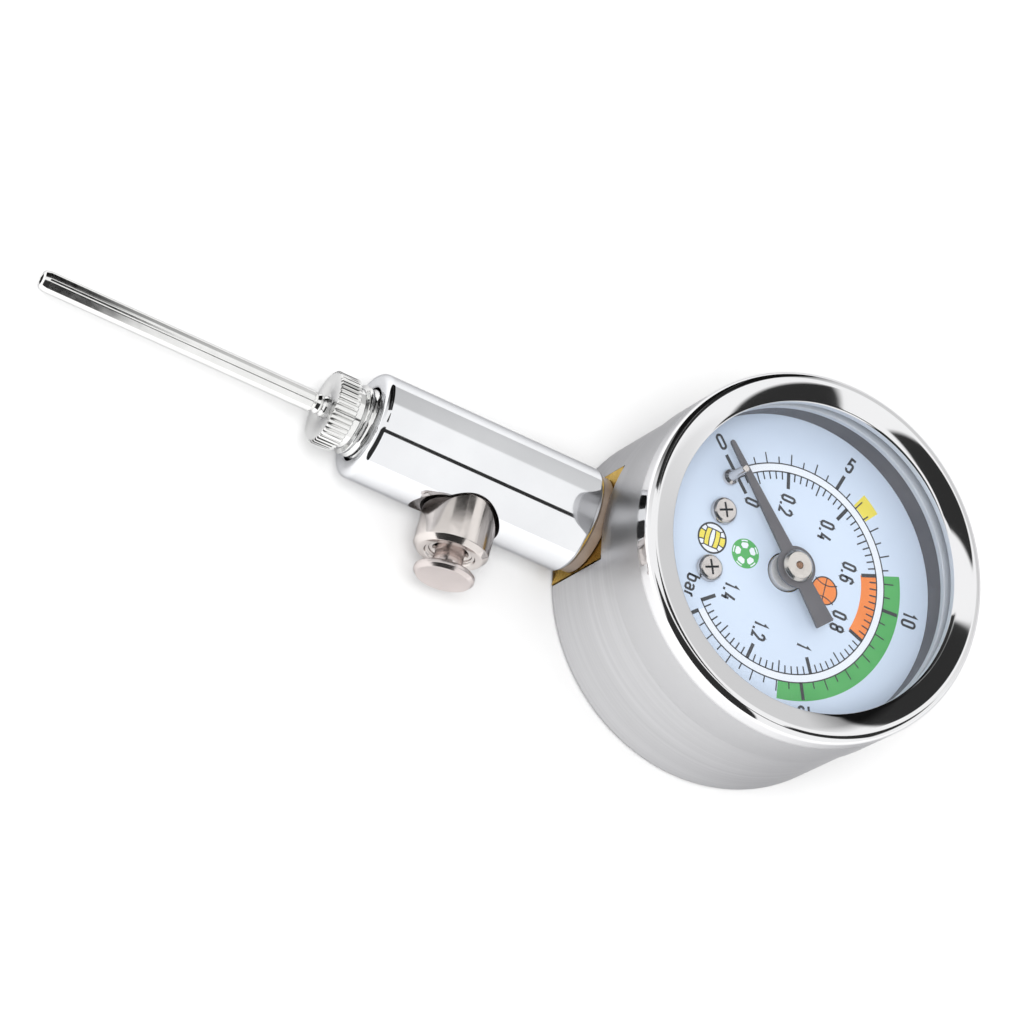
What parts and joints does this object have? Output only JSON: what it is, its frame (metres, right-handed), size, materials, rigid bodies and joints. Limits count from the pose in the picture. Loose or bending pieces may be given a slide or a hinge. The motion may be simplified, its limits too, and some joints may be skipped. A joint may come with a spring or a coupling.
{
  "type": "ball pressure gauge",
  "caption": "Round dial pressure gauge with a chromed stem, a side push-button bleed valve and a thin inflation needle for sports balls.",
  "frame": {"origin": "centre of the flat case back, below the pointer's axis", "axes": "+Z out of the dial face; -X along the stem and needle, so +X is the top of the dial; -Y out of the bleed button"},
  "size_m": [0.1036, 0.04, 0.0222],
  "materials": {
    "chrome": "polished",
    "case_steel": "fine brushed",
    "bright_steel": "bright",
    "nickel": "warm nickel plate",
    "bright_nickel": "bright nickel plate",
    "brass": "machined",
    "phosphor_bronze": "drawn",
    "washer_brown": "matt fibre",
    "dial_blue": "matt print",
    "pointer_grey": "matt",
    "spacer_grey": "matt",
    "seal_grey": "matt",
    "black_rubber": "matt",
    "clear_glass": "clear"
  },
  "bodies": {
    "gauge": {"case_cup": "case_steel", "bezel_ring": "chrome", "lens": "clear_glass", "lens_gasket": "seal_grey", "spacer_ring": "spacer_grey", "dial_plate": "dial_blue", "dial_screw_1": "nickel", "dial_screw_2": "nickel", "stop_pin": "nickel", "movement_bottom_plate": "brass", "movement_top_plate": "brass", "pillar_1": "brass", "pillar_2": "brass", "pillar_3": "brass", "movement_screw_1": "bright_steel", "movement_screw_2": "bright_steel", "hairspring": "phosphor_bronze", "hairspring_stud": "brass", "bourdon_tube": "phosphor_bronze", "stem_block": "brass", "seal_washer": "washer_brown", "body_tube": "chrome", "valve_housing": "nickel", "valve_spring": "bright_steel", "case_screw_1": "bright_steel", "case_screw_2": "bright_steel"},
    "pointer_set": {"pointer": "pointer_grey", "pointer_bush": "nickel", "pinion_arbor": "brass"},
    "sector": {"sector_gear": "brass", "link_pin_1": "bright_steel"},
    "link": {"link": "brass"},
    "tube_tip": {"tube_tip": "brass", "link_pin_2": "bright_steel"},
    "button": {"valve_button": "nickel", "valve_o_ring": "black_rubber", "valve_retainer": "bright_steel"},
    "needle_carrier": {"needle_washer": "black_rubber"},
    "needle": {"needle_hub": "bright_nickel", "needle_tube": "bright_nickel"}
  },
  "joints": [
    {"name": "sector_turn", "type": "hinge", "parent": "gauge", "child": "sector", "pos_m": [-0.002, -0.00816, 0.0112], "axis": [0, 0, 1], "range_deg": [0, 46.2]},
    {"name": "pointer_turn", "type": "hinge", "parent": "gauge", "child": "pointer_set", "pos_m": [0, 0, 0.0176], "axis": [0, 0, -1], "range_deg": [0, 277], "deforming": ["hairspring"]},
    {"name": "link_turn", "type": "hinge", "parent": "sector", "child": "link", "pos_m": [-0.00439, -0.00714, 0.01185], "axis": [0, 0, 1], "range_deg": [-46.2, 0]},
    {"name": "tube_tip_slide", "type": "slide", "parent": "gauge", "child": "tube_tip", "axis": [0, -1, 0], "range_m": [0, 0.00204], "stiffness_N_per_m": 80, "springref_m": -0.0003, "deforming": ["bourdon_tube"]},
    {"name": "button_press", "type": "slide", "parent": "gauge", "child": "button", "axis": [0, 1, 0], "range_m": [0, 0.0018], "stiffness_N_per_m": 500, "springref_m": -0.001, "deforming": ["valve_spring"]},
    {"name": "needle_unscrew_slide", "type": "slide", "parent": "gauge", "child": "needle_carrier", "axis": [-1, 0, 0], "range_m": [0, 0.00556]},
    {"name": "needle_unscrew_turn", "type": "hinge", "parent": "needle_carrier", "child": "needle", "pos_m": [-0.0509, 0, 0.00605], "axis": [-1, 0, 0], "range_deg": [0, 2521]}
  ],
  "couplings": [
    {"joint": "sector_turn", "follows": "tube_tip_slide", "rad_per_m": 395.21},
    {"joint": "pointer_turn", "follows": "tube_tip_slide", "rad_per_m": 2371.3},
    {"joint": "link_turn", "follows": "tube_tip_slide", "rad_per_m": -395.21},
    {"joint": "needle_unscrew_turn", "follows": "needle_unscrew_slide", "rad_per_m": 7913.3}
  ]
}
